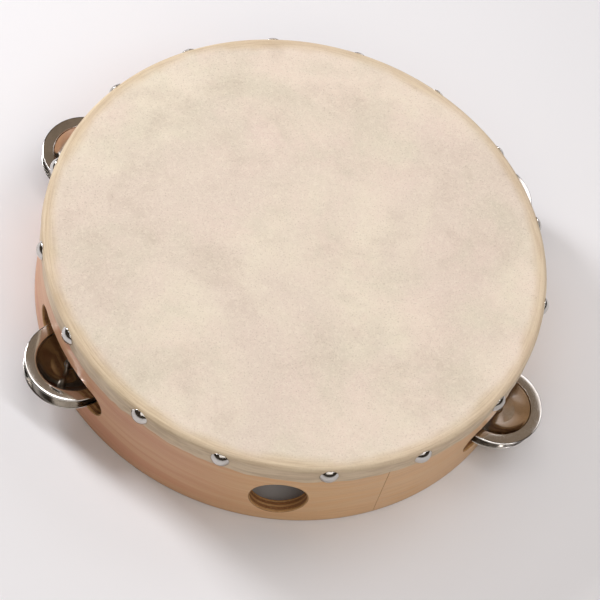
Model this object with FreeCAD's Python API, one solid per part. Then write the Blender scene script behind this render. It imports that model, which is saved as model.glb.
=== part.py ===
"""Headed hand tambourine: plywood shell, tacked skin, and five pairs of jingles on pins.

Frame: millimetres, +Z up.  The origin is the shell's axis at its open bottom edge,
and the skin is on top.  The thumb hole faces -Y.  Angles are counted from +X towards +Y.
Each solid is written to parts/NODE.step.
"""
import FreeCAD
import Part
import math
import os

V = FreeCAD.Vector
UP = V(0, 0, 1)
CENTRE = V(0, 0, 0)

# driving dimensions of the shell
SHELL_RADIUS = 127.0
HEIGHT = 54.0
SKIN = 0.6
VENEER = 1.3
CORE = 3.9
TOP_ROUND = 2.0
FOOT_ROUND = 0.8
SEAM_GAP = 0.25
FACE_SEAM_ANGLE = -66.6
BACK_SEAM_ANGLE = 61.0

# the stations round the shell: one thumb hole and five jingle slots
HOLE_ANGLE = -90.0
HOLE_RADIUS = 14.0
HOLE_HEIGHT = 22.5
SLOT_ANGLES = (-149.0, -29.0, 31.0, 91.0, 151.0)
SLOT_LENGTH = 64.5
SLOT_FLOOR = 14.5
SLOT_HEIGHT = 15.0

# jingles and their pins
JINGLE_RADIUS = 22.75
JINGLE_BORE = 2.5
JINGLE_SHEET = 0.7
JINGLE_GAP = 0.1
# how far each loose disc has settled away from its pin: outwards, and round towards +angle
UPPER_REST = ((-0.6, 1.1), (0.6, -1.0), (-1.1, 0.2), (-0.6, -0.8), (-1.0, 0.6))
LOWER_REST = ((-0.8, 0.6), (-1.0, 0.5), (-0.4, 0.9), (0.3, -0.9), (-0.8, -0.5))
PIN_RADIUS = 1.0
PIN_PLAY = 0.05
PIN_CIRCLE = 124.2
PIN_FOOT = 0.3
PIN_TOP = 42.0

# tacks: one step apart round the band, each a little off its mark as hand work leaves it
TACK_COUNT = 16
FIRST_TACK = -81.0
TACK_OFFSETS = (0.1, -0.6, -0.2, 6.2, 5.6, 4.0, 2.3, 0.7, -1.0, -2.6, -4.3, -0.6, -0.3, -0.4, 1.7, -1.2)
TACK_HEIGHT = 48.5
TACK_HEAD_RADIUS = 4.75
TACK_DOME = 2.3
TACK_BRIM = 0.3
TACK_SHANK_RADIUS = 0.8
TACK_SHANK = 5.4
TACK_TIP_RADIUS = 0.15
SKIN_BAND = 10.6

# worked out
RIM = HEIGHT - SKIN
CORE_OUTER = SHELL_RADIUS - VENEER
CORE_INNER = CORE_OUTER - CORE
SHELL_BORE = CORE_INNER - VENEER
SLOT_MIDDLE = SLOT_FLOOR + SLOT_HEIGHT / 2
CROWN_MIDDLE = 19.3


def direction(angle):
    """Unit vector in the XY plane at this many degrees from +X."""
    turn = math.radians(angle)
    return V(math.cos(turn), math.sin(turn), 0)


def point(x, z):
    """A point of a profile in the XZ half plane."""
    return V(x, 0, z)


def line(start, end):
    return Part.makeLine(point(*start), point(*end))


def arc(start, middle, end):
    return Part.Arc(point(*start), point(*middle), point(*end)).toShape()


def dome(radius, foot, top):
    """Arc of a ball centred on the axis, from the edge of its cap up to the pole."""
    height = top - foot
    ball = (radius ** 2 + height ** 2) / (2 * height)
    centre = top - ball
    spread = math.asin(radius / ball)
    circle = Part.Circle(point(0, centre), V(0, -1, 0), ball)
    start = circle.parameter(point(ball * math.sin(spread), centre + ball * math.cos(spread)))
    end = circle.parameter(point(0, top))
    return Part.Arc(circle, start, end).toShape()


def lathe(edges):
    """One solid: a closed profile in the XZ half plane, turned about Z."""
    face = Part.Face(Part.Wire(edges))
    return face.revolve(CENTRE, UP, 360)


def tube(inner, outer, low, high):
    """A plain ring of wall between two radii."""
    wall = Part.makeCylinder(outer, high - low, V(0, 0, low), UP)
    return wall.cut(Part.makeCylinder(inner, high - low, V(0, 0, low), UP))


def shoulder(radius, rim, rounding):
    """Quarter round from the top of a wall's outer face to its rim."""
    inset = rounding * (1 - math.sqrt(0.5))
    return arc((radius, rim - rounding), (radius - inset, rim - inset), (radius - rounding, rim))


def shell_blank():
    """The whole wall before it is slotted: rounded at the rim and eased at the foot."""
    ease = FOOT_ROUND * (1 - math.sqrt(0.5))
    foot = arc((SHELL_RADIUS - FOOT_ROUND, 0), (SHELL_RADIUS - ease, ease), (SHELL_RADIUS, FOOT_ROUND))
    return lathe([
        line((SHELL_BORE, 0), (SHELL_RADIUS - FOOT_ROUND, 0)),
        foot,
        line((SHELL_RADIUS, FOOT_ROUND), (SHELL_RADIUS, RIM - TOP_ROUND)),
        shoulder(SHELL_RADIUS, RIM, TOP_ROUND),
        line((SHELL_RADIUS - TOP_ROUND, RIM), (SHELL_BORE, RIM)),
        line((SHELL_BORE, RIM), (SHELL_BORE, 0)),
    ])


def slot_cutter(angle):
    """A round-ended slot, cut straight through the wall along its radius."""
    out = direction(angle)
    along = UP.cross(out)
    end_radius = SLOT_HEIGHT / 2
    straight = SLOT_LENGTH / 2 - end_radius
    start = out * (SHELL_BORE - 10)
    depth = SHELL_RADIUS - SHELL_BORE + 20
    corners = []
    for side, level in ((-1, SLOT_FLOOR), (1, SLOT_FLOOR), (1, SLOT_FLOOR + SLOT_HEIGHT)):
        corners.append(start + along * (side * straight) + UP * level)
    corners.append(start + along * -straight + UP * (SLOT_FLOOR + SLOT_HEIGHT))
    right = start + along * (straight + end_radius) + UP * SLOT_MIDDLE
    left = start + along * -(straight + end_radius) + UP * SLOT_MIDDLE
    outline = Part.Wire([
        Part.makeLine(corners[0], corners[1]),
        Part.Arc(corners[1], right, corners[2]).toShape(),
        Part.makeLine(corners[2], corners[3]),
        Part.Arc(corners[3], left, corners[0]).toShape(),
    ])
    return Part.Face(outline).extrude(out * depth)


def hole_cutter():
    """The thumb hole, through the wall along its radius."""
    out = direction(HOLE_ANGLE)
    start = out * (SHELL_BORE - 10) + UP * HOLE_HEIGHT
    return Part.makeCylinder(HOLE_RADIUS, SHELL_RADIUS - SHELL_BORE + 20, start, out)


def seam_cutter(angle):
    """A hairline gap where the two ends of a bent veneer meet."""
    out = direction(angle)
    gap = Part.makeBox(20, SEAM_GAP, HEIGHT + 2, V(SHELL_BORE - 5, -SEAM_GAP / 2, -1))
    gap.rotate(CENTRE, UP, angle)
    return gap


def pin_hole(angle):
    """The hole for one jingle pin, up from the foot of the wall, a running fit on the pin."""
    foot = direction(angle) * PIN_CIRCLE
    return Part.makeCylinder(PIN_RADIUS + PIN_PLAY, PIN_TOP + 0.5, foot, UP)


def openings():
    return [hole_cutter()] + [slot_cutter(angle) for angle in SLOT_ANGLES]


def shell_parts():
    """The bent plywood hoop as its outer veneer, its glued inner veneers and its back veneer."""
    blank = shell_blank().cut(openings())
    layers = {
        "shell_face_ply": (CORE_OUTER, SHELL_RADIUS + 1),
        "shell_core": (CORE_INNER, CORE_OUTER),
        "shell_back_ply": (SHELL_BORE - 1, CORE_INNER),
    }
    parts = {}
    for node, (inner, outer) in layers.items():
        parts[node] = blank.common(tube(inner, outer, -1, HEIGHT + 1))
    parts["shell_face_ply"] = parts["shell_face_ply"].cut(seam_cutter(FACE_SEAM_ANGLE))
    parts["shell_back_ply"] = parts["shell_back_ply"].cut(seam_cutter(BACK_SEAM_ANGLE))
    parts["shell_core"] = parts["shell_core"].cut([pin_hole(angle) for angle in SLOT_ANGLES])
    return parts


def skin_head():
    """The hide: flat over the drum, round over the rim, and down the side as a band."""
    outer = SHELL_RADIUS + SKIN
    outer_round = TOP_ROUND + SKIN
    hem = HEIGHT - SKIN_BAND
    return lathe([
        line((0, RIM), (SHELL_RADIUS - TOP_ROUND, RIM)),
        shoulder(SHELL_RADIUS, RIM, TOP_ROUND),
        line((SHELL_RADIUS, RIM - TOP_ROUND), (SHELL_RADIUS, hem)),
        line((SHELL_RADIUS, hem), (outer, hem)),
        line((outer, hem), (outer, HEIGHT - outer_round)),
        shoulder(outer, HEIGHT, outer_round),
        line((outer - outer_round, HEIGHT), (0, HEIGHT)),
        line((0, HEIGHT), (0, RIM)),
    ])


def tack_at_origin():
    """One tack along +Z: a domed head with a short brim, and a tapered shank below it."""
    return lathe([
        line((0, -TACK_SHANK), (TACK_TIP_RADIUS, -TACK_SHANK)),
        line((TACK_TIP_RADIUS, -TACK_SHANK), (TACK_SHANK_RADIUS, -TACK_SHANK + 2.5)),
        line((TACK_SHANK_RADIUS, -TACK_SHANK + 2.5), (TACK_SHANK_RADIUS, 0)),
        line((TACK_SHANK_RADIUS, 0), (TACK_HEAD_RADIUS, 0)),
        line((TACK_HEAD_RADIUS, 0), (TACK_HEAD_RADIUS, TACK_BRIM)),
        dome(TACK_HEAD_RADIUS, TACK_BRIM, TACK_DOME),
        line((0, TACK_DOME), (0, -TACK_SHANK)),
    ])


def tack_angles():
    step = 360.0 / TACK_COUNT
    return [FIRST_TACK + step * i + TACK_OFFSETS[i] for i in range(TACK_COUNT)]


def head_tacks():
    """All the tacks, as separate solids in one group."""
    pattern = tack_at_origin()
    tacks = []
    for angle in tack_angles():
        tack = pattern.copy()
        tack.rotate(CENTRE, V(0, 1, 0), 90)
        tack.translate(V(SHELL_RADIUS + SKIN, 0, TACK_HEIGHT))
        tack.rotate(CENTRE, UP, angle)
        tacks.append(tack)
    return Part.makeCompound(tacks)


def jingle_pin(angle):
    """A plain wire pin, eased at its foot and pointed at its top."""
    point_length = 2.5
    tip = 0.3
    ease = 0.2
    pin = lathe([
        line((0, PIN_FOOT), (PIN_RADIUS - ease, PIN_FOOT)),
        line((PIN_RADIUS - ease, PIN_FOOT), (PIN_RADIUS, PIN_FOOT + ease)),
        line((PIN_RADIUS, PIN_FOOT + ease), (PIN_RADIUS, PIN_TOP - point_length)),
        line((PIN_RADIUS, PIN_TOP - point_length), (tip, PIN_TOP)),
        line((tip, PIN_TOP), (0, PIN_TOP)),
        line((0, PIN_TOP), (0, PIN_FOOT)),
    ])
    pin.translate(direction(angle) * PIN_CIRCLE)
    return pin


def jingle_blank():
    """One disc, bowl up, its crown on z = 0: dished middle, bowl wall, sharp step, rolled flange."""
    sheet = JINGLE_SHEET
    hole = JINGLE_BORE
    rim = JINGLE_RADIUS
    return lathe([
        arc((hole, sheet), (6.4, 0.85), (9.5, 1.15)),
        arc((9.5, 1.15), (13.3, 2.25), (16.6, 3.95)),
        line((16.6, 3.95), (17.1, 4.45)),
        arc((17.1, 4.45), (20.0, 4.68), (rim, 4.35)),
        line((rim, 4.35), (rim, 4.35 - sheet)),
        arc((rim, 4.35 - sheet), (20.0, 4.68 - sheet), (17.5, 3.85)),
        line((17.5, 3.85), (17.1, 3.42)),
        arc((17.1, 3.42), (13.6, 1.63), (9.6, 0.45)),
        arc((9.6, 0.45), (6.4, 0.15), (hole, 0)),
        line((hole, 0), (hole, sheet)),
    ])


def settled(angle, rest, height):
    """Where a disc's crown has settled beside the pin of the station at this angle."""
    out = direction(angle)
    return out * (PIN_CIRCLE + rest[0]) + UP.cross(out) * rest[1] + UP * height


def upper_disc(angle, rest):
    """The upper disc of a pair, bowl up."""
    disc = jingle_blank()
    disc.translate(settled(angle, rest, CROWN_MIDDLE + JINGLE_GAP / 2))
    return disc


def lower_disc(angle, rest):
    """The lower disc of a pair: the same pressing, bowl down."""
    disc = jingle_blank()
    disc.rotate(CENTRE, V(1, 0, 0), 180)
    disc.translate(settled(angle, rest, CROWN_MIDDLE - JINGLE_GAP / 2))
    return disc


def all_parts():
    parts = shell_parts()
    parts["skin_head"] = skin_head()
    parts["head_tacks"] = head_tacks()
    for i, (angle, upper_rest, lower_rest) in enumerate(zip(SLOT_ANGLES, UPPER_REST, LOWER_REST), start=1):
        parts[f"jingle_pin_{i}"] = jingle_pin(angle)
        parts[f"jingle_{i}_upper"] = upper_disc(angle, upper_rest)
        parts[f"jingle_{i}_lower"] = lower_disc(angle, lower_rest)
    return parts


def main():
    os.makedirs("parts", exist_ok=True)
    for node, shape in all_parts().items():
        shape.exportStep(f"parts/{node}.step")
        print(node, "solids", len(shape.Solids), "valid", shape.isValid(), "volume", round(shape.Volume, 1))


main()
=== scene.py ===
"""Looks of the headed hand tambourine: wood, hide and nickel, built round its fixed CAD frame.

Metres, +Z up.  The origin is the shell's axis at its open bottom edge.  Angles are counted
from +X towards +Y.  Every shape is a grid of points worked out with numpy.
"""
import math

import bmesh
import bpy
import numpy as np
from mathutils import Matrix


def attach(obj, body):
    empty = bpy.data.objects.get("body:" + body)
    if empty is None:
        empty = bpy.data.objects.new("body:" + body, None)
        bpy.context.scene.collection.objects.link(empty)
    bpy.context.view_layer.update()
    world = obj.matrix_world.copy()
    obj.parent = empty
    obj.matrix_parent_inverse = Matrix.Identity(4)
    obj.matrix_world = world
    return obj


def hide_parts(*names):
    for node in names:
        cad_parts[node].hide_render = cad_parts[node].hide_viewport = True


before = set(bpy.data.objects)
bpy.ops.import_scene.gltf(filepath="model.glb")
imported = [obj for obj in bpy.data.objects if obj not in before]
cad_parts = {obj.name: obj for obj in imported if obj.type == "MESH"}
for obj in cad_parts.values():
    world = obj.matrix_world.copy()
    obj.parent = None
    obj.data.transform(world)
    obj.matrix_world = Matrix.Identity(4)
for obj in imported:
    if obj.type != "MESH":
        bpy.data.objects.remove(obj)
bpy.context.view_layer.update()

MM = 0.001

# the shell, as its drawing gives it
SHELL_RADIUS = 127.0 * MM
HEIGHT = 54.0 * MM
SKIN = 0.6 * MM
VENEER = 1.3 * MM
CORE = 3.9 * MM
TOP_ROUND = 2.0 * MM
FOOT_ROUND = 0.8 * MM
SEAM_GAP = 0.25 * MM
FACE_SEAM = math.radians(-66.6)
BACK_SEAM = math.radians(61.0)
RIM = HEIGHT - SKIN
CORE_OUTER = SHELL_RADIUS - VENEER
CORE_INNER = CORE_OUTER - CORE
SHELL_BORE = CORE_INNER - VENEER

# the stations round it
HOLE_ANGLE = math.radians(-90.0)
HOLE_RADIUS = 14.0 * MM
HOLE_HEIGHT = 22.5 * MM
SLOT_ANGLES = np.radians((-149.0, -29.0, 31.0, 91.0, 151.0))
SLOT_HALF = 32.25 * MM
SLOT_END = 7.5 * MM
SLOT_HEIGHT = 22.0 * MM
STATIONS = range(1, len(SLOT_ANGLES) + 1)
PIN_HOLE = 1.05 * MM
JINGLE_RADIUS = 22.75 * MM
PIN_CIRCLE = 124.2 * MM
PIN_TOP = 42.0 * MM

# where each disc has come to rest beside its pin: outward and along the turn, upper and lower
UPPER_REST = np.array(((-0.6, 1.1), (0.6, -1.0), (-1.1, 0.2), (-0.6, -0.8), (-1.0, 0.6))) * MM
LOWER_REST = np.array(((-0.8, 0.6), (-1.0, 0.5), (-0.4, 0.9), (0.3, -0.9), (-0.8, -0.5))) * MM
CROWN_MIDDLE = 19.3 * MM
JINGLE_GAP = 0.1 * MM

# the skin's band and its tacks
HEM = HEIGHT - 10.6 * MM
SHOULDER = TOP_ROUND + SKIN
TACK_COUNT = 16
FIRST_TACK = -81.0
TACK_OFFSETS = (0.1, -0.6, -0.2, 6.2, 5.6, 4.0, 2.3, 0.7, -1.0, -2.6, -4.3, -0.6, -0.3, -0.4, 1.7, -1.2)
TACK_HEIGHT = 48.5 * MM
TACK_TILT = math.radians(1.1)
TACK_SINK = 0.45 * MM

# fineness of the grids
RING_STEP = math.radians(0.5)
ROW_STEP = 1.15 * MM
FACE_EASE = 0.6 * MM
GLUE_EASE = 0.06 * MM
BORE_EASE = 0.4 * MM

rng = np.random.default_rng(7)


# ---------------------------------------------------------------- mesh making

def grid_quads(rows, cols, wrap_rows=False, wrap_cols=True):
    """Corner numbers of the quads between neighbouring rows and columns of a grid of points."""
    index = np.arange(rows * cols).reshape(rows, cols)
    if wrap_cols:
        index = np.concatenate([index, index[:, :1]], axis=1)
    if wrap_rows:
        index = np.concatenate([index, index[:1]], axis=0)
    corners = (index[:-1, :-1], index[:-1, 1:], index[1:, 1:], index[1:, :-1])
    return np.stack(corners, axis=-1)


def weld(mesh):
    """Merges the points of a mesh that lie on each other, which closes its poles and seams."""
    work = bmesh.new()
    work.from_mesh(mesh)
    bmesh.ops.remove_doubles(work, verts=work.verts, dist=2e-6)
    work.to_mesh(mesh)
    work.free()


def shade(mesh, sharp=40.0):
    """Smooth shading, kept crisp at edges that turn by more than this many degrees."""
    mesh.shade_smooth()
    mesh.set_sharp_from_angle(angle=math.radians(sharp))


def mesh_object(name, points, quads, kinds=None, uv=None, sharp=40.0):
    """A mesh object from points and quads.  kinds gives each quad the number of its material,
    and uv gives each point its place in the pattern."""
    points = np.asarray(points, np.float32).reshape(-1, 3)
    quads = np.asarray(quads, np.int32).reshape(-1, 4)
    mesh = bpy.data.meshes.new(name)
    mesh.vertices.add(len(points))
    mesh.vertices.foreach_set("co", points.ravel())
    mesh.loops.add(quads.size)
    mesh.loops.foreach_set("vertex_index", quads.ravel())
    mesh.polygons.add(len(quads))
    mesh.polygons.foreach_set("loop_start", np.arange(0, quads.size, 4, dtype=np.int32))
    if kinds is not None:
        mesh.polygons.foreach_set("material_index", np.asarray(kinds, np.int32).ravel())
    if uv is not None:
        layer = mesh.uv_layers.new(name="pattern")
        corners = np.asarray(uv, np.float32).reshape(-1, 2)[quads.ravel()]
        layer.uv.foreach_set("vector", corners.ravel())
    mesh.update(calc_edges=True)
    weld(mesh)
    mesh.validate()
    shade(mesh, sharp)
    obj = bpy.data.objects.new(name, mesh)
    bpy.context.scene.collection.objects.link(obj)
    return obj


def lathe(profile, columns):
    """Grid of points: a profile of (radius, height) pairs, anticlockwise, turned about Z."""
    turns = np.linspace(0, 2 * math.pi, columns, endpoint=False)
    radius, height = np.asarray(profile, float).T
    x = radius[:, None] * np.cos(turns)
    y = radius[:, None] * np.sin(turns)
    z = np.broadcast_to(height[:, None], x.shape)
    return np.stack([x, y, z], axis=-1)


def arc_through(start, middle, end, count=8):
    """Points of a profile along the circle through three of its points, first and last included."""
    a, b, c = (complex(*p) for p in (start, middle, end))
    w = (c - a) / (b - a)
    centre = (b - a) * (w - abs(w) ** 2) / (2j * w.imag) + a
    turn = np.angle((c - centre) / (a - centre))
    if np.angle((b - centre) / (a - centre)) * turn < 0:
        turn -= math.copysign(2 * math.pi, turn)
    points = centre + (a - centre) * np.exp(1j * np.linspace(0, turn, count))
    return np.stack([points.real, points.imag], axis=1)


def waves(theta, seed, low, high):
    """A wavy value round the ring, about -1 to 1: sines of low to high waves a turn, finer ones smaller."""
    source = np.random.default_rng(seed)
    total = np.zeros_like(theta)
    power = 0.0
    for count in range(low, high + 1):
        size = source.uniform(0.4, 1.0) / math.sqrt(count)
        total += size * np.sin(count * theta + source.uniform(0, 2 * math.pi))
        power += size ** 2 / 2
    return total / (1.8 * math.sqrt(power))


def smooth(x, low, high):
    """0 below low, 1 above high, and an even ramp between."""
    t = np.clip((x - low) / (high - low), 0, 1)
    return t * t * (3 - 2 * t)


def bell(x, width):
    """A bell of height 1 at 0."""
    return np.exp(-(x / width) ** 2)


def turn_from(theta, angle):
    """Angle from one direction to another, between minus and plus half a turn."""
    return (theta - angle + math.pi) % (2 * math.pi) - math.pi


def piece(obj, body, node, slot, *materials):
    """Gives a finished piece its materials and its body, and hides the CAD node it stands for. slot is not
    used.
    """
    for material in materials:
        obj.data.materials.append(material)
    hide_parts(node)
    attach(obj, body)
    return obj


# ---------------------------------------------------------------- the shell's plies

class Opening:
    """A hole or round-ended slot through the wall.  It takes a block of cells out of the wall's
    grid; the block's edge is drawn to the real outline, and the grid round it eases to follow."""

    def __init__(self, angle, height, half_length, end_radius, block_share):
        self.angle = angle
        self.height = height
        self.half_length = half_length
        self.end_radius = end_radius
        self.block_length = half_length * block_share
        self.block_height = end_radius * block_share
        self.block_angle = self.block_length / SHELL_RADIUS

    def outline(self, u, v, grow):
        """Place on the outline, grown by this much, of the block's edge point (u, v), in block units.
        Each quarter of the block's edge is matched to its quarter of the outline by its share of
        the length, from the far end round to the middle of the top."""
        on_side = np.abs(u) >= 1 - 1e-9
        over_top = self.block_height + (1 - np.abs(u)) * self.block_length
        length = np.where(on_side, np.abs(v) * self.block_height, over_top)
        share = length / (self.block_height + self.block_length)
        end = self.end_radius + grow
        straight = self.half_length - self.end_radius
        arc = end * math.pi / 2
        along = share * (arc + straight)
        turn = np.minimum(along, arc) / end
        x = straight + end * np.cos(turn) - np.maximum(along - arc, 0)
        z = end * np.sin(turn)
        return np.copysign(x, u), np.copysign(z, v)

    def warp(self, theta, z, radius, grow):
        """Moves the grid's points near the block so that the block's edge lies on the outline."""
        u = turn_from(theta, self.angle) / self.block_angle
        v = (z - self.height) / self.block_height
        size = np.maximum(np.maximum(np.abs(u), np.abs(v)), 1e-9)
        edge_u, edge_v = u / size, v / size
        x, height = self.outline(edge_u, edge_v, grow)
        fade = 1 - smooth(np.abs(u), 1.0, 1.0 + 7.0 * MM / self.block_length)
        fade *= 1 - smooth(np.abs(v), 1.0, 1.0 + 5.5 * MM / self.block_height)
        theta = theta + fade * (np.arcsin(x / radius) - edge_u * self.block_angle)
        z = z + fade * (height - edge_v * self.block_height)
        return theta, z

    def takes(self, theta, z):
        """True where a cell's middle lies in the block."""
        beside = np.abs(turn_from(theta, self.angle)) < self.block_angle
        return beside & (np.abs(z - self.height) < self.block_height)

    def tunnel(self, theta, heights, outer, inner, outer_ease, inner_ease):
        """Points of the opening's wall from the outer face to the inner, its edges eased."""
        turn = np.sort(turn_from(theta, self.angle)) / self.block_angle
        u = turn[np.abs(turn) <= 1 + 1e-6]
        level = (heights - self.height) / self.block_height
        v = level[np.abs(level) <= 1 + 1e-6]
        one_u, one_v = np.ones_like(u), np.ones_like(v)
        edge_u = np.concatenate([u[:-1], one_v[:-1], u[:0:-1], -one_v[:-1]])
        edge_v = np.concatenate([-one_u[:-1], v[:-1], one_u[:-1], v[:0:-1]])
        quarter = np.linspace(0, math.pi / 2, 5)
        depth = np.concatenate([
            outer_ease * (1 - np.cos(quarter)),
            [(outer - inner) / 2],
            outer - inner - inner_ease * (1 - np.cos(quarter[::-1])),
        ])
        grow = np.concatenate([
            outer_ease * (1 - np.sin(quarter)),
            [0.0],
            inner_ease * (1 - np.sin(quarter[::-1])),
        ])
        x, z = self.outline(edge_u[None, :], edge_v[None, :], grow[:, None])
        radius = outer - depth[:, None] + 0 * x
        return ring_points(radius, self.angle + np.arcsin(x / radius), self.height + z)


OPENINGS = [Opening(HOLE_ANGLE, HOLE_HEIGHT, HOLE_RADIUS, HOLE_RADIUS, 0.88)]
OPENINGS += [Opening(angle, SLOT_HEIGHT, SLOT_HALF, SLOT_END, 1.0) for angle in SLOT_ANGLES]


def ring_points(radius, theta, z):
    """Points at these radii, angles and heights."""
    return np.stack([radius * np.cos(theta), radius * np.sin(theta), z], axis=-1)


def spaced(marks, step):
    """A rising list of values that holds every mark, with steps of about this size between them."""
    marks = sorted(marks)
    out = [marks[0]]
    for low, high in zip(marks[:-1], marks[1:]):
        count = max(1, round((high - low) / step))
        out.extend(np.linspace(low, high, count + 1)[1:])
    return np.array(out)


def wall_angles(seam):
    """Angles of the wall's grid lines once round from the seam, with lines on every opening's ends."""
    marks = {0.0, 2 * math.pi}
    for opening in OPENINGS:
        marks.add((opening.angle - opening.block_angle - seam) % (2 * math.pi))
        marks.add((opening.angle + opening.block_angle - seam) % (2 * math.pi))
    return seam + spaced(marks, RING_STEP)


def wall_heights():
    """Heights of the wall's grid lines, with lines on the floor and top of every opening."""
    marks = {FOOT_ROUND, RIM - TOP_ROUND}
    for opening in OPENINGS[:2]:
        marks.update((opening.height - opening.block_height, opening.height + opening.block_height))
    return spaced(marks, ROW_STEP)


def rim_height(radius):
    """Height of the shell's top at this radius: flat, then a quarter round down to the outside."""
    over = np.clip(radius - (SHELL_RADIUS - TOP_ROUND), 0, TOP_ROUND)
    return RIM - TOP_ROUND + np.sqrt(TOP_ROUND ** 2 - over ** 2)


def half_section(edge, middle, ease, heights):
    """Half of a ply's section: from the middle of its foot, round the eased edge, up the wall and
    over the rim to the middle.  Returns radii and heights."""
    inward = math.copysign(ease, middle - edge)
    quarter = np.linspace(0, math.pi / 2, 5)
    rim = edge + (middle - edge) * np.linspace(0, 1, 7) ** 2
    radius = np.concatenate([[middle], edge + inward * (1 - np.sin(quarter)), 0 * heights + edge, rim])
    height = np.concatenate([[0], ease * (1 - np.cos(quarter)), heights, rim_height(rim)])
    return radius, height


def cap_quads(rows, cols, column):
    """Quads that close a ply's end, between its outer half section and its inner one."""
    half = rows // 2
    out = np.arange(half) * cols + column
    back = (rows - 1 - np.arange(half)) * cols + column
    return np.stack([out[:-1], out[1:], back[1:], back[:-1]], axis=-1)


def wall_side(edge, middle, foot, mouth, columns, heights):
    """One side of a ply, from the middle of its foot to the middle of its rim, eased round every
    opening.  Returns its points, their place in the pattern, its rows' heights, and which rows are
    on the wall itself."""
    radius, height = half_section(edge, middle, foot, heights)
    turn, level = np.meshgrid(columns, height)
    for opening in OPENINGS:
        turn, level = opening.warp(turn, level, edge, mouth)
    points = ring_points(radius[:, None] + 0 * turn, turn, level)
    return points, np.stack([turn * SHELL_RADIUS, level], axis=-1), height, radius == edge


def ply(name, outer, inner, seam, gap, foot_eases, mouth_eases, face):
    """One ring of the bent plywood hoop: an outer and an inner wall on one grid of angles and
    heights, joined over the rim and under the foot, with an eased tunnel through each opening.
    With a gap it is open at its seam by that much.  face names the wall that shows as veneer."""
    theta = wall_angles(seam)
    theta[[0, -1]] += np.array([0.5, -0.5]) * gap / outer
    is_open = gap > 0
    columns = theta if is_open else theta[:-1]
    heights = wall_heights()
    middle = (outer + inner) / 2
    up = wall_side(outer, middle, foot_eases[0], mouth_eases[0], columns, heights)
    down = wall_side(inner, middle, foot_eases[1], mouth_eases[1], columns, heights)
    points, patterns, levels, on_wall = (np.concatenate([u, d[::-1]]) for u, d in zip(up, down))
    is_outer = np.arange(len(levels)) < len(up[2])
    shown = on_wall & (is_outer if face == "outer" else ~is_outer) & (face != "none")
    rows, cols = points.shape[:2]
    quads = grid_quads(rows, cols, wrap_rows=True, wrap_cols=not is_open)

    turn_middle = (theta[:-1] + theta[1:]) / 2
    level_middle = (levels + np.roll(levels, -1)) / 2
    keep = np.ones(quads.shape[:2], bool)
    for opening in OPENINGS:
        keep &= ~opening.takes(turn_middle[None, :], level_middle[:, None])
    kinds = np.where(shown & np.roll(shown, -1), 0, 1)[:, None] + np.zeros(quads.shape[:2], int)

    mesh_points, mesh_quads = [points.reshape(-1, 3)], [quads[keep]]
    mesh_kinds, mesh_patterns = [kinds[keep]], [patterns.reshape(-1, 2)]
    count = rows * cols
    if is_open:
        caps = np.stack([cap_quads(rows, cols, 0), cap_quads(rows, cols, cols - 1)[:, ::-1]])
        mesh_quads.append(caps.reshape(-1, 4))
        mesh_kinds.append(np.ones(caps.size // 4, int))
    for opening in OPENINGS:
        wall = opening.tunnel(theta[:-1], heights, outer, inner, *mouth_eases)
        mesh_points.append(wall.reshape(-1, 3))
        mesh_patterns.append(np.zeros((wall.size // 3, 2)))
        mesh_quads.append(grid_quads(*wall.shape[:2]).reshape(-1, 4) + count)
        mesh_kinds.append(np.ones(len(mesh_quads[-1]), int))
        count += wall.size // 3
    joined = (np.concatenate(part) for part in (mesh_points, mesh_quads, mesh_kinds, mesh_patterns))
    return mesh_object(name, *joined)


def drill_pins(core):
    """Drills the five pin holes up from the core's foot, through each slot's floor and top."""
    top = PIN_TOP + 0.5 * MM
    pattern = lathe([(0, -MM), (PIN_HOLE, -MM), (PIN_HOLE, top), (0, top)], 32)
    quads = grid_quads(*pattern.shape[:2]).reshape(-1, 4)
    points, corners = [], []
    for i, angle in enumerate(SLOT_ANGLES):
        points.append(pattern + PIN_CIRCLE * np.array([math.cos(angle), math.sin(angle), 0]))
        corners.append(quads + i * pattern.size // 3)
    drill = mesh_object("drill", np.stack(points), np.concatenate(corners))
    cut = core.modifiers.new("pin holes", "BOOLEAN")
    cut.operation = "DIFFERENCE"
    cut.solver = "EXACT"
    cut.object = drill
    bpy.context.view_layer.update()
    drilled = bpy.data.meshes.new_from_object(core.evaluated_get(bpy.context.evaluated_depsgraph_get()))
    core.modifiers.clear()
    core.data = drilled
    shade(drilled)
    bpy.data.objects.remove(drill)


def shell(veneer, cut_wood):
    """The three plies of the hoop."""
    face = ply("face_veneer", SHELL_RADIUS, CORE_OUTER, FACE_SEAM, SEAM_GAP,
               (FOOT_ROUND, 0), (FACE_EASE, GLUE_EASE), "outer")
    core = ply("inner_veneers", CORE_OUTER, CORE_INNER, FACE_SEAM, 0,
               (0, 0), (GLUE_EASE, GLUE_EASE), "none")
    back = ply("back_veneer", CORE_INNER, SHELL_BORE, BACK_SEAM, SEAM_GAP,
               (0, 0.3 * MM), (GLUE_EASE, BORE_EASE), "inner")
    drill_pins(core)
    piece(face, "shell", "shell_face_ply", "shell_wood", veneer, cut_wood)
    piece(core, "shell", "shell_core", "shell_wood", cut_wood, cut_wood)
    piece(back, "shell", "shell_back_ply", "shell_wood", veneer, cut_wood)
    return face, core, back


# ---------------------------------------------------------------- skin, tacks, jingles, pins

def tack_angles():
    step = 360.0 / TACK_COUNT
    return np.radians([FIRST_TACK + step * i + TACK_OFFSETS[i] for i in range(TACK_COUNT)])


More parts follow.
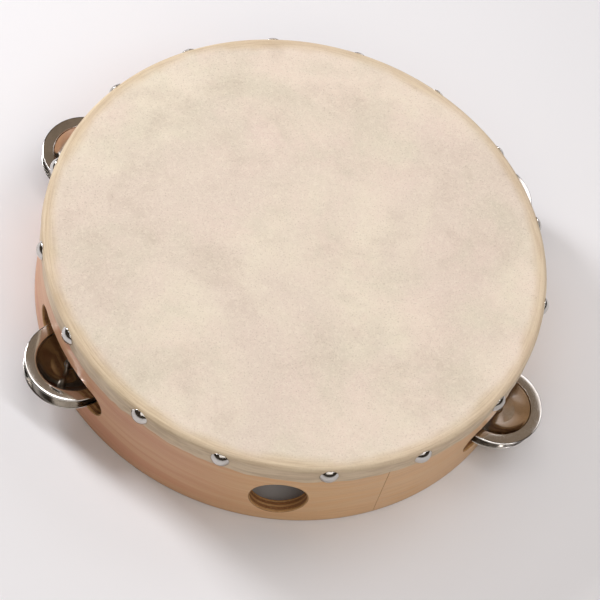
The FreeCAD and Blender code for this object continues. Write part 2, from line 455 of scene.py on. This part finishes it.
def band_relief(theta, height, down):
    """How far the hide's outside stands off its plain shape.  down runs from 0 on the drum to 1 at
    the hem.  The band is gathered in small pleats that grow towards the hem, bulges a little
    between tacks, is pressed in round each tack, is folded over itself in one place, and its hem is
    lifted a little in another."""
    pleats = 0.16 * MM * waves(theta, 3, 14, 60) + 0.10 * MM * waves(theta + 14 * height, 4, 60, 150)
    nearest = np.abs(turn_from(theta[..., None], tack_angles())).min(axis=-1) * SHELL_RADIUS
    bulge = 0.15 * MM * smooth(nearest, 5 * MM, 16 * MM)
    pressed = 0.55 * MM * bell(np.hypot(nearest, height - TACK_HEIGHT), 6.0 * MM)
    lean = 11.0 * (height - HEM)
    fold = bell(turn_from(theta, math.radians(-128.6)) - lean, math.radians(0.9))
    tuck = bell(turn_from(theta, math.radians(-130.8)) - lean, math.radians(0.8))
    lifted = bell(turn_from(theta, math.radians(-84.5)), math.radians(3.6))
    lifted = 0.35 * MM * lifted * (1 - smooth(height, HEM, HEM + 2.5 * MM))
    return down * (pleats + bulge - pressed + MM * (0.42 * fold - 0.18 * tuck)) + lifted


def drum_relief(theta, radius):
    """How far the stretched drum stands off flat: long slow swells, and a low ring where the hide
    has dried hard just inside the rim."""
    swell = 0.10 * MM * waves(theta, 9, 2, 7) * (radius / SHELL_RADIUS) ** 2
    swell += 0.07 * MM * np.sin(radius / (17 * MM) + 2 * np.sin(theta)) * smooth(radius, 0.0, 40 * MM)
    ring = 0.10 * MM * bell(radius - 121 * MM + 1.2 * MM * waves(theta, 12, 3, 12), 2.4 * MM)
    return (swell + ring) * (1 - smooth(radius, 121 * MM, 125 * MM))


def skin_outside():
    """The hide's outer section as (radius, height): up the band, round the shoulder and in over the
    drum to the middle."""
    outer = SHELL_RADIUS + SKIN
    quarter = np.linspace(0, math.pi / 2, 11)
    drum = np.concatenate([np.linspace(124.6, 110, 16), np.linspace(108, 0, 26)]) * MM
    rise = np.linspace(HEM, HEIGHT - SHOULDER, 22)[:-1]
    bend_radius = outer - SHOULDER * (1 - np.cos(quarter))
    bend_height = HEIGHT - SHOULDER * (1 - np.sin(quarter))
    return np.concatenate([
        np.stack([np.full_like(rise, outer), rise], 1),
        np.stack([bend_radius, bend_height], 1),
        np.stack([drum, np.full_like(drum, HEIGHT)], 1),
    ])


def skin_inside():
    """The hide's inner section as (radius, height): out from the middle, over the shell's rim and
    down to the hem, just clear of the wood."""
    bore = SHELL_RADIUS + 0.02 * MM
    under = RIM + 0.02 * MM
    back = np.linspace(math.pi / 2, 0, 11)
    return np.concatenate([
        np.stack([np.linspace(0, 124.6, 20) * MM, np.full(20, under)], 1),
        np.stack([bore - TOP_ROUND * (1 - np.cos(back)), under - TOP_ROUND * (1 - np.sin(back))], 1),
        [[bore, HEM + 3 * MM], [bore, HEM]],
    ])


def skin(hide):
    """The hide: one closed sheet turned about Z, its outside carrying the band's and the drum's
    relief, its hem cut a little unevenly."""
    columns = 720
    outside = skin_outside()
    points = lathe(np.concatenate([outside, skin_inside()]), columns)
    turns = np.linspace(0, 2 * math.pi, columns, endpoint=False)
    theta = np.broadcast_to(turns, (len(outside), columns))
    radius, height = outside[:, :1] + 0 * theta, outside[:, 1:] + 0 * theta
    down = 1 - smooth(height, HEM + 3 * MM, HEIGHT - 0.4 * MM)
    lean = np.clip((height - (HEIGHT - SHOULDER)) / SHOULDER, 0, 1)
    on_side = radius > 125.2 * MM
    off_side = band_relief(theta, height, down) * on_side
    outward = off_side * np.sqrt(1 - lean ** 2)
    outer_points = points[: len(outside)]
    outer_points[..., 0] += outward * np.cos(theta)
    outer_points[..., 1] += outward * np.sin(theta)
    outer_points[..., 2] += off_side * lean + drum_relief(theta, radius) * ~on_side
    hem = 0.45 * MM * waves(turns, 21, 3, 14) + 0.12 * MM * waves(turns, 22, 20, 60)
    points[..., 2] += hem * (1 - np.clip((points[..., 2] - HEM) / (8 * MM), 0, 1))
    obj = mesh_object("hide_head", points, grid_quads(*points.shape[:2], wrap_rows=True), sharp=60.0)
    return piece(obj, "shell", "skin_head", "hide", hide)


def tacks(nickel):
    """Sixteen domed tacks, each driven in along its radius, a little out of square, its head pressed
    into the hide."""
    shank = [(0, -5.4), (0.15, -5.4), (0.8, -2.9), (0.8, 0.0)]
    brim = arc_through((4.55, 0.0), (4.76, 0.16), (4.75, 0.42), 4)
    dome = arc_through((4.75, 0.42), (2.75, 2.25), (0.0, 2.95), 16)
    pattern = lathe(np.concatenate([shank, brim, dome[1:]]) * MM, 48)
    quads = grid_quads(*pattern.shape[:2]).reshape(-1, 4)
    points, corners = [], []
    for i, angle in enumerate(tack_angles()):
        tilt, nod = rng.normal(0, TACK_TILT, 2)
        out = np.array([math.cos(angle), math.sin(angle), 0])
        side = np.array([-math.sin(angle), math.cos(angle), 0])
        axis = out + tilt * side + nod * np.array([0, 0, 1])
        axis /= np.linalg.norm(axis)
        across = np.cross([0, 0, 1], axis)
        across /= np.linalg.norm(across)
        turned = pattern @ np.stack([across, np.cross(axis, across), axis])
        points.append(turned + out * (SHELL_RADIUS + SKIN - TACK_SINK) + [0, 0, TACK_HEIGHT])
        corners.append(quads + i * pattern.size // 3)
    obj = mesh_object("dome_tacks", np.stack(points), np.concatenate(corners))
    return piece(obj, "shell", "head_tacks", "nickel", nickel)


def disc_profile():
    """A jingle's section, bowl up, its crown on 0: dished middle, bowl wall, sharp step, nearly flat
    flange, with the pressed sheet's edges eased."""
    return np.concatenate([
        arc_through((2.62, 0.0), (6.4, 0.15), (9.6, 0.45), 10),
        arc_through((9.9, 0.49), (13.6, 1.63), (16.9, 3.30), 14),
        arc_through((17.1, 3.42), (17.32, 3.62), (17.5, 3.80), 4),
        arc_through((17.7, 3.86), (20.0, 3.90), (22.40, 3.80), 12),
        arc_through((22.62, 3.84), (22.77, 4.12), (22.62, 4.40), 5),
        arc_through((22.40, 4.50), (20.0, 4.60), (17.5, 4.52), 14),
        arc_through((17.30, 4.47), (17.10, 4.42), (16.95, 4.28), 5),
        arc_through((16.75, 4.08), (16.62, 3.96), (16.45, 3.86), 4),
        arc_through((16.3, 3.78), (13.3, 2.25), (9.9, 1.21), 14),
        arc_through((9.5, 1.13), (6.4, 0.83), (2.70, 0.70), 10),
        arc_through((2.60, 0.64), (2.50, 0.35), (2.53, 0.06), 4),
    ]) * MM


def jingle(station, side, nickel):
    """One jingle disc, turned from its section, and a little out of true as pressed sheet is.
    The lower one is the upper one upside down."""
    i = station - 1
    angle = SLOT_ANGLES[i]
    is_upper = side == "upper"
    profile = disc_profile() if is_upper else (disc_profile() * (1, -1))[::-1]
    grid = lathe(profile, 180)
    reach = np.hypot(grid[..., 0], grid[..., 1]) / JINGLE_RADIUS
    theta = np.arctan2(grid[..., 1], grid[..., 0])
    two, three = rng.uniform(0, 2 * math.pi, 2)
    grid[..., 2] += 0.09 * MM * reach ** 3 * np.sin(2 * theta + two)
    grid[..., 2] += 0.04 * MM * reach ** 3 * np.sin(3 * theta + three)

    out = np.array([math.cos(angle), math.sin(angle), 0])
    side_way = np.array([-math.sin(angle), math.cos(angle), 0])
    rest = UPPER_REST[i] if is_upper else LOWER_REST[i]
    crown = CROWN_MIDDLE + math.copysign(JINGLE_GAP / 2, 1 if is_upper else -1)
    grid += out * (PIN_CIRCLE + rest[0]) + side_way * rest[1] + [0, 0, crown]
    quads = grid_quads(*grid.shape[:2], wrap_rows=True)
    obj = mesh_object(f"nickel_disc_{station}_{side}", grid, quads, sharp=50.0)
    return piece(obj, f"{side}_disc_{station}", f"jingle_{station}_{side}", "nickel", nickel)


def pin(station, steel):
    """A plain wire pin, eased at its foot and pointed at its top."""
    angle = SLOT_ANGLES[station - 1]
    wire = [(1.0, z) for z in np.linspace(0.5, 39.5, 40)]
    profile = np.array([(0, 0.3), (0.8, 0.3), (0.94, 0.36)] + wire + [(0.3, 41.9), (0.22, 42.0), (0, 42.0)])
    points = lathe(profile * MM, 32)
    points += PIN_CIRCLE * np.array([math.cos(angle), math.sin(angle), 0])
    obj = mesh_object(f"wire_pin_{station}", points, grid_quads(*points.shape[:2]))
    return piece(obj, f"pin_{station}", f"jingle_pin_{station}", "pin_steel", steel)


# ---------------------------------------------------------------- materials

def tone(red, green, blue):
    """A colour given as screen values, 0 to 255, for a shader."""
    values = np.array([red, green, blue]) / 255
    linear = np.where(values <= 0.04045, values / 12.92, ((values + 0.055) / 1.055) ** 2.4)
    return (*linear.tolist(), 1.0)


def add(tree, kind, inputs=None, **settings):
    """One shader node.  inputs maps its sockets to values, or to other nodes' outputs."""
    node = tree.nodes.new("ShaderNode" + kind)
    for name, value in settings.items():
        setattr(node, name, value)
    for key, value in (inputs or {}).items():
        if isinstance(value, bpy.types.NodeSocket):
            tree.links.new(value, node.inputs[key])
        else:
            node.inputs[key].default_value = value
    return node


def maths(tree, operation, *values):
    """The result of a sum on numbers or sockets."""
    return add(tree, "Math", dict(enumerate(values)), operation=operation).outputs[0]


def ramp(tree, factor, low, high):
    """A factor stretched smoothly from low..high to 0..1."""
    inputs = {"Value": factor, "From Min": low, "From Max": high}
    return add(tree, "MapRange", inputs, interpolation_type="SMOOTHSTEP").outputs[0]


def mix(tree, factor, first, second, blend="MIX"):
    """Two colours mixed by a factor."""
    inputs = {0: factor, 6: first, 7: second}
    return add(tree, "Mix", inputs, data_type="RGBA", blend_type=blend).outputs[2]


def noise(tree, place, scale, detail=3.0, roughness=0.55, distortion=0.0):
    """Cloudy noise at a place, this many features to the metre."""
    inputs = {"Vector": place, "Scale": scale, "Detail": detail, "Roughness": roughness,
              "Distortion": distortion}
    return add(tree, "TexNoise", inputs).outputs[0]


def stretch(tree, place, factors):
    """A place with each of its coordinates multiplied."""
    return add(tree, "VectorMath", {0: place, 1: factors}, operation="MULTIPLY").outputs[0]


def object_place(tree):
    return add(tree, "TexCoord").outputs["Object"]


def radius_of(tree, place):
    """Distance of a place from the drum's axis, and its height."""
    parts = add(tree, "SeparateXYZ", {0: place}).outputs
    squared = maths(tree, "MULTIPLY_ADD", parts[0], parts[0], maths(tree, "MULTIPLY", parts[1], parts[1]))
    return maths(tree, "SQRT", squared), parts[2]


def new_group(name, inputs, outputs):
    """An empty shader group with these float, vector or colour sockets."""
    group = bpy.data.node_groups.new(name, "ShaderNodeTree")
    for label, kind, value in inputs:
        socket = group.interface.new_socket(label, in_out="INPUT", socket_type="NodeSocket" + kind)
        if value is not None:
            socket.default_value = value
    for label, kind in outputs:
        group.interface.new_socket(label, in_out="OUTPUT", socket_type="NodeSocket" + kind)
    entry = group.nodes.new("NodeGroupInput")
    leave = group.nodes.new("NodeGroupOutput")
    return group, entry.outputs, leave.inputs


def use(tree, group, inputs):
    """The outputs of a shader group placed in a tree."""
    node = add(tree, "Group", node_tree=group)
    for key, value in inputs.items():
        if isinstance(value, bpy.types.NodeSocket):
            tree.links.new(value, node.inputs[key])
        else:
            node.inputs[key].default_value = value
    return node.outputs


def handling_group():
    """Where hands have been: broad smears and finer marks, as one mask from 0 to 1."""
    group, given, out = new_group("handling", [("Scale", "Float", 20.0)], [("Mask", "Float")])
    place = object_place(group)
    broad = ramp(group, noise(group, place, given["Scale"], 2.0, 0.5, 0.6), 0.42, 0.68)
    fine_scale = maths(group, "MULTIPLY", given["Scale"], 9.0)
    fine = ramp(group, noise(group, place, fine_scale, 4.0, 0.7, 0.2), 0.45, 0.75)
    both = maths(group, "MULTIPLY_ADD", fine, 0.35, maths(group, "MULTIPLY", broad, 0.65))
    group.links.new(both, out["Mask"])
    return group


def mottle_group():
    """Cloudy patches, soft at their edges, as a mask from 0 to 1."""
    sockets = [("Place", "Vector", None), ("Scale", "Float", 20.0), ("Low", "Float", 0.4),
               ("High", "Float", 0.6)]
    group, given, out = new_group("mottle", sockets, [("Mask", "Float")])
    cloud = noise(group, given["Place"], given["Scale"], 5.0, 0.62, 0.35)
    group.links.new(ramp(group, cloud, given["Low"], given["High"]), out["Mask"])
    return group


def grain_group():
    """Close-grained pale wood along the first axis of a place: growth figure, fine streaks, and
    short dark pores, each from 0 to 1."""
    results = [("Figure", "Float"), ("Streak", "Float"), ("Pore", "Float")]
    group, given, out = new_group("wood_grain", [("Place", "Vector", None)], results)
    place = given["Place"]
    wander = noise(group, stretch(group, place, (9, 30, 30)), 1.0, 2.0, 0.5)
    shift = add(group, "CombineXYZ", {"Y": maths(group, "MULTIPLY", wander, 0.02)}).outputs[0]
    bent = add(group, "VectorMath", {0: place, 1: shift}, operation="ADD").outputs[0]
    figure = noise(group, stretch(group, bent, (5, 190, 190)), 1.0, 3.0, 0.55, 0.4)
    streak = noise(group, stretch(group, bent, (26, 1500, 1500)), 1.0, 3.0, 0.6)
    pore = noise(group, stretch(group, bent, (240, 3600, 3600)), 1.0, 2.0, 0.5)
    group.links.new(ramp(group, figure, 0.36, 0.66), out["Figure"])
    group.links.new(ramp(group, streak, 0.3, 0.72), out["Streak"])
    group.links.new(ramp(group, pore, 0.66, 0.80), out["Pore"])
    return group


def new_material(name):
    """A material with its Principled shader, and the tree that it is in."""
    material = bpy.data.materials.new(name)
    material.use_nodes = True
    tree = material.node_tree
    return material, tree, tree.nodes["Principled BSDF"].inputs


def veneer_material(groups):
    """Sealed pale hardwood face veneer: rosy and golden areas, streaks along the hoop, fine pores,
    satin lacquer that handling has dulled here and there."""
    material, tree, surface = new_material("sealed_veneer")
    flat = add(tree, "UVMap", uv_map="pattern").outputs[0]
    grain = use(tree, groups["grain"], {"Place": flat})
    side = add(tree, "SeparateXYZ", {0: object_place(tree)}).outputs[0]
    area = maths(tree, "MULTIPLY", noise(tree, stretch(tree, flat, (7, 22, 22)), 1.0, 2.0, 0.5), 0.08)
    golden = ramp(tree, maths(tree, "ADD", side, area), -0.04, 0.06)
    base = mix(tree, golden, tone(212, 152, 120), tone(232, 188, 138))
    figured = mix(tree, maths(tree, "MULTIPLY", grain["Figure"], 0.55), base, tone(232, 196, 152))
    streaked = mix(tree, maths(tree, "MULTIPLY", grain["Streak"], 0.28), figured, tone(188, 136, 96))
    pored = mix(tree, maths(tree, "MULTIPLY", grain["Pore"], 0.45), streaked, tone(150, 100, 66))
    tree.links.new(pored, surface["Base Color"])
    mask = use(tree, groups["handling"], {"Scale": 24.0})["Mask"]
    tree.links.new(maths(tree, "MULTIPLY_ADD", mask, 0.16, 0.36), surface["Roughness"])
    height = maths(tree, "SUBTRACT", grain["Streak"], grain["Pore"])
    relief = add(tree, "Bump", {"Height": height, "Strength": 0.25, "Distance": 0.00006})
    tree.links.new(relief.outputs[0], surface["Normal"])
    surface["Specular IOR Level"].default_value = 0.45
    return material


def cut_wood_material(groups):
    """Cut edge of the plywood: layers by radius, every second one cross-grained and darker, thin
    glue lines between, and fuzzy cut fibres."""
    material, tree, surface = new_material("cut_plywood")
    place = object_place(tree)
    depth = maths(tree, "SUBTRACT", SHELL_RADIUS, radius_of(tree, place)[0])
    wobble = maths(tree, "MULTIPLY", maths(tree, "SUBTRACT", noise(tree, place, 130.0, 2.0), 0.5), 0.0003)
    layer = maths(tree, "DIVIDE", maths(tree, "ADD", depth, wobble), VENEER)
    across = maths(tree, "PINGPONG", maths(tree, "ADD", layer, 0.5), 1.0)
    cross_grain = ramp(tree, across, 0.46, 0.54)
    glue = maths(tree, "SUBTRACT", 1.0, ramp(tree, maths(tree, "PINGPONG", layer, 0.5), 0.02, 0.11))
    fibre = noise(tree, stretch(tree, place, (1, 1, 3)), 900.0, 4.0, 0.65)
    long_grain = mix(tree, ramp(tree, fibre, 0.3, 0.7), tone(214, 168, 112), tone(188, 138, 88))
    end_grain = mix(tree, ramp(tree, fibre, 0.3, 0.7), tone(178, 124, 76), tone(140, 92, 54))
    layers = mix(tree, cross_grain, end_grain, long_grain)
    glued = mix(tree, maths(tree, "MULTIPLY", glue, 0.6), layers, tone(96, 60, 34))
    tree.links.new(glued, surface["Base Color"])
    mask = use(tree, groups["handling"], {"Scale": 60.0})["Mask"]
    tree.links.new(maths(tree, "MULTIPLY_ADD", mask, 0.14, 0.58), surface["Roughness"])
    height = maths(tree, "SUBTRACT", fibre, glue)
    relief = add(tree, "Bump", {"Height": height, "Strength": 0.5, "Distance": 0.00010})
    tree.links.new(relief.outputs[0], surface["Normal"])
    return material


def hide_clouds(tree, groups, place):
    """Cream hide with broad yellow and rosy areas and smaller grey-green and tan clouds."""
    clouds = (
        (7.0, 0.40, 0.60, 1.00, tone(239, 228, 206)),
        (13.0, 0.40, 0.66, 0.50, tone(238, 214, 202)),
        (19.0, 0.42, 0.72, 0.55, tone(210, 203, 180)),
        (46.0, 0.46, 0.80, 0.45, tone(200, 182, 164)),
    )
    colour = tone(228, 212, 196)
    for scale, low, high, strength, tint in clouds:
        inputs = {"Place": place, "Scale": scale, "Low": low, "High": high}
        mask = use(tree, groups["mottle"], inputs)["Mask"]
        colour = mix(tree, maths(tree, "MULTIPLY", mask, strength), colour, tint)
    return colour


def rim_tan(tree, place, radius, colour):
    """Tans the hide in a wandering ring just inside the rim, in streaks that run round with it."""
    wander = maths(tree, "MULTIPLY", maths(tree, "SUBTRACT", noise(tree, place, 30.0, 4.0), 0.5), 0.012)
    ring = ramp(tree, maths(tree, "ADD", radius, wander), 0.1185, 0.1250)
    left = ramp(tree, add(tree, "SeparateXYZ", {0: place}).outputs[0], 0.06, -0.11)
    ring = maths(tree, "MULTIPLY", ring, maths(tree, "MULTIPLY_ADD", left, 0.10, 0.62))
    sweep = stretch(tree, add(tree, "VectorMath", {0: place}, operation="NORMALIZE").outputs[0], (7, 7, 0))
    along = add(tree, "CombineXYZ", {"Z": maths(tree, "MULTIPLY", radius, 1400.0)}).outputs[0]
    streak_place = add(tree, "VectorMath", {0: sweep, 1: along}, operation="ADD").outputs[0]
    streak = ramp(tree, noise(tree, streak_place, 1.0, 3.0, 0.6), 0.35, 0.7)
    return mix(tree, ring, colour, mix(tree, streak, tone(222, 200, 164), tone(194, 166, 126)))


def hide_material(groups):
    """Calf hide: clouded cream with short pale fibres and dark pores, tanned where it bends over the
    rim, streaky down the band and painted darker and greyer there, partly as painted shade of the side."""
    material, tree, surface = new_material("calf_hide")
    place = object_place(tree)
    radius, height = radius_of(tree, place)
    colour = hide_clouds(tree, groups, place)
    fibre = noise(tree, place, 520.0, 5.0, 0.75, 1.2)
    pale = maths(tree, "MULTIPLY", ramp(tree, fibre, 0.42, 0.70), 0.42)
    colour = mix(tree, pale, colour, tone(250, 240, 222))
    pore = noise(tree, place, 1300.0, 2.0, 0.5)
    dark = maths(tree, "MULTIPLY", ramp(tree, pore, 0.56, 0.72), 0.30)
    colour = mix(tree, dark, colour, tone(160, 140, 116))
    colour = rim_tan(tree, place, radius, colour)
    # Down the band the hide is streaky, and its colour is painted darker and greyer than on the drum:
    # partly the hide's own tone, partly painted shade of the upright side.
    band = ramp(tree, maths(tree, "SUBTRACT", HEIGHT, height), 0.0014, 0.0024)
    weave = noise(tree, stretch(tree, place, (60, 60, 420)), 1.0, 4.0, 0.6, 0.3)
    band_hide_and_painted_shade = mix(tree, ramp(tree, weave, 0.35, 0.68), tone(228, 208, 180), tone(202, 180, 152))
    colour = mix(tree, maths(tree, "MULTIPLY", band, 0.85), colour, band_hide_and_painted_shade)
    tree.links.new(colour, surface["Base Color"])

    mask = use(tree, groups["handling"], {"Scale": 16.0})["Mask"]
    tree.links.new(maths(tree, "MULTIPLY_ADD", mask, -0.14, 0.62), surface["Roughness"])
    rough = maths(tree, "MULTIPLY_ADD", pore, 0.6, fibre)
    relief = add(tree, "Bump", {"Height": rough, "Strength": 0.35, "Distance": 0.00012})
    tree.links.new(relief.outputs[0], surface["Normal"])
    surface["Specular IOR Level"].default_value = 0.35
    return material


def nickel_material(name, groups, rough, relief_strength):
    """Bright nickel plate of a warm tone, with handling marks and a faint orange-peel."""
    material, tree, surface = new_material(name)
    place = object_place(tree)
    mask = use(tree, groups["handling"], {"Scale": 70.0})["Mask"]
    cloud = noise(tree, place, 240.0, 4.0, 0.7)
    colour = mix(tree, mask, tone(208, 205, 201), tone(184, 179, 172))
    stain = maths(tree, "MULTIPLY", ramp(tree, cloud, 0.55, 0.8), 0.25)
    colour = mix(tree, stain, colour, tone(156, 152, 146))
    tree.links.new(colour, surface["Base Color"])
    tree.links.new(maths(tree, "MULTIPLY_ADD", mask, 0.10, rough), surface["Roughness"])
    fine = noise(tree, place, 1600.0, 3.0, 0.6)
    relief = add(tree, "Bump", {"Height": fine, "Strength": relief_strength, "Distance": 0.00002})
    tree.links.new(relief.outputs[0], surface["Normal"])
    surface["Metallic"].default_value = 1.0
    return material


def steel_material(groups):
    """Drawn wire: greyer, with lines along it."""
    material, tree, surface = new_material("drawn_wire")
    place = object_place(tree)
    line = noise(tree, stretch(tree, place, (5200, 5200, 60)), 1.0, 3.0, 0.6)
    mask = use(tree, groups["handling"], {"Scale": 140.0})["Mask"]
    colour = mix(tree, ramp(tree, line, 0.35, 0.7), tone(176, 170, 162), tone(126, 118, 108))
    tree.links.new(colour, surface["Base Color"])
    tree.links.new(maths(tree, "MULTIPLY_ADD", mask, 0.2, 0.28), surface["Roughness"])
    relief = add(tree, "Bump", {"Height": line, "Strength": 0.3, "Distance": 0.00002})
    tree.links.new(relief.outputs[0], surface["Normal"])
    surface["Metallic"].default_value = 1.0
    return material


def floor_material():
    """Pale matt studio floor with the faintest unevenness."""
    material, tree, surface = new_material("studio_floor")
    cloud = noise(tree, object_place(tree), 3.0, 2.0, 0.5)
    tree.links.new(mix(tree, cloud, tone(240, 240, 242), tone(243, 243, 245)), surface["Base Color"])
    surface["Roughness"].default_value = 0.85
    surface["Specular IOR Level"].default_value = 0.15
    return material


# ---------------------------------------------------------------- stage, lights and camera

def floor():
    """A wide plain floor just under the foot."""
    half = 6.0
    level = -0.02 * MM
    corners = [(-half, -half, level), (half, -half, level), (half, half, level), (-half, half, level)]
    obj = mesh_object("floor", corners, [[0, 1, 2, 3]])
    obj.data.materials.append(floor_material())
    return obj


def softbox(name, azimuth, elevation, distance, width, height, power, colour):
    """An area light in this direction from the drum and at this distance, turned to face it."""
    turn, rise = math.radians(azimuth), math.radians(elevation)
    data = bpy.data.lights.new(name, "AREA")
    data.shape = "RECTANGLE"
    data.size = width
    data.size_y = height
    data.energy = power
    data.color = tone(*colour)[:3]
    light = bpy.data.objects.new(name, data)
    flat = distance * math.cos(rise)
    light.location = (flat * math.cos(turn), flat * math.sin(turn), distance * math.sin(rise))
    light.rotation_euler = (math.pi / 2 - rise, 0, turn + math.pi / 2)
    bpy.context.scene.collection.objects.link(light)
    return light


def lights():
    """Softboxes in a dim room: a key from the back left, a long narrow one close overhead, a weak
    one from the back right, a low one in front, and a dim warm wall for the nickel to mirror."""
    softbox("key", 143, 28, 1.4, 0.35, 0.42, 12.0, (252, 252, 255))
    softbox("overhead", 53, 84, 0.95, 1.9, 0.12, 4.8, (253, 252, 255))
    softbox("back", 40, 42, 1.8, 1.0, 0.8, 5.0, (253, 252, 255))
    softbox("front", -83, 49, 1.6, 1.9, 1.1, 8.5, (255, 248, 241))
    softbox("wall", 78, 58, 2.2, 1.9, 1.3, 2.6, (214, 190, 166))
    world = bpy.data.worlds.new("room")
    world.use_nodes = True
    world.node_tree.nodes["Background"].inputs["Color"].default_value = tone(120, 106, 92)
    world.node_tree.nodes["Background"].inputs["Strength"].default_value = 0.25
    bpy.context.scene.world = world


def camera():
    """A long lens looking down on the drum from the front left."""
    data = bpy.data.cameras.new("camera")
    data.lens = 142.674
    data.sensor_width = 36.0
    data.clip_end = 30.0
    view = bpy.data.objects.new("camera", data)
    view.location = (-0.144562, -0.649271, 1.033538)
    view.rotation_euler = np.radians((31.5535, -9.7546, 2.0543))
    bpy.context.scene.collection.objects.link(view)
    bpy.context.scene.camera = view
    bpy.context.scene.view_settings.view_transform = "Standard"


def build():
    groups = {"handling": handling_group(), "mottle": mottle_group(), "grain": grain_group()}
    face, core, back = shell(veneer_material(groups), cut_wood_material(groups))
    head = skin(hide_material(groups))
    tacks(nickel_material("tack_nickel", groups, 0.13, 0.15))
    disc_nickel = nickel_material("jingle_nickel", groups, 0.08, 0.10)
    wire = steel_material(groups)
    for station in STATIONS:
        jingle(station, "upper", disc_nickel)
        jingle(station, "lower", disc_nickel)
        pin(station, wire)
    floor()
    lights()
    camera()


build()
